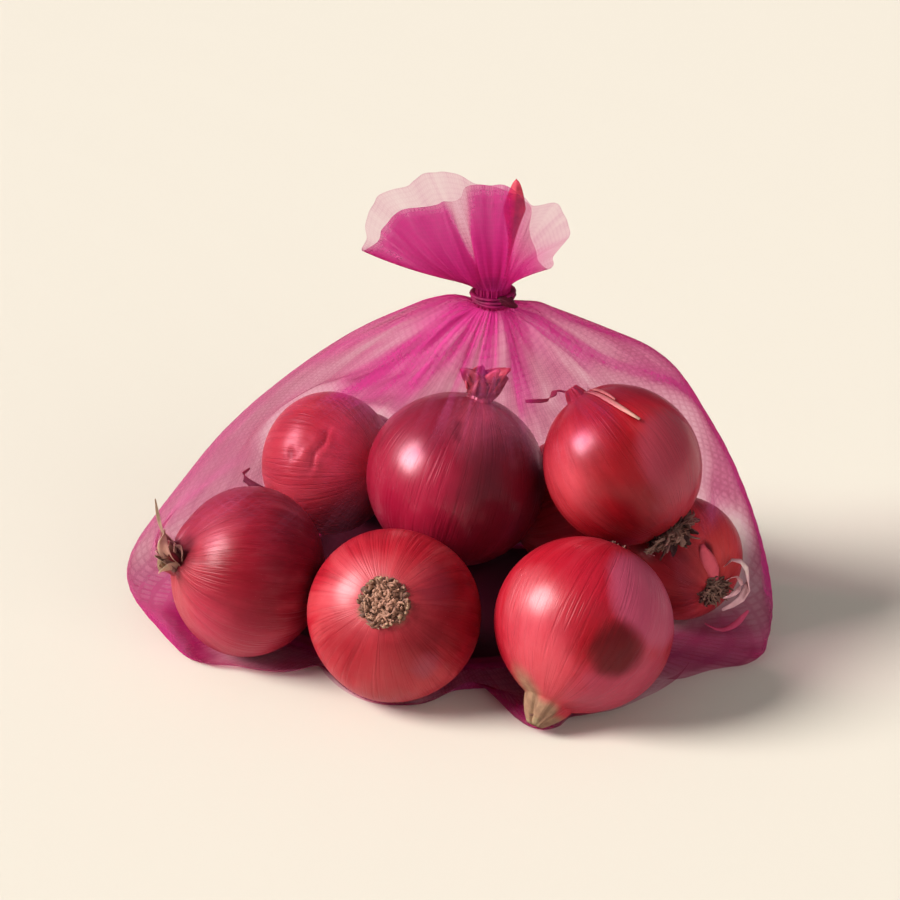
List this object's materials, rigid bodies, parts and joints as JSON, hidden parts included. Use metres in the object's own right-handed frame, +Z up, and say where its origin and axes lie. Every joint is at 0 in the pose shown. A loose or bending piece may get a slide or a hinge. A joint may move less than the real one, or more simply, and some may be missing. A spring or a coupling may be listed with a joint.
{
  "type": "net of red onions",
  "caption": "Sheer net tube full of red onions, gathered and tied at the top with a ruffled frill, standing on its flat underside.",
  "frame": {"origin": "middle of the underside of the whole, on the surface that the net stands on", "axes": "+X to the right along the wide side of the net, +Y to the back, +Z up towards the tied neck"},
  "size_m": [0.2578, 0.2032, 0.196],
  "materials": {
    "net": "fine sheer woven net, see-through where it is one or two layers, deep pink where it is gathered",
    "tie": "dull soft strip, dark red",
    "onion_skin": "dry papery skin with a satin gloss and fine veins from root to neck",
    "onion_dry": "dry brown fibrous root plates, necks and loose husks"
  },
  "bodies": {
    "root": {"net_bag": "net", "net_tie": "tie"}
  },
  "joints": []
}
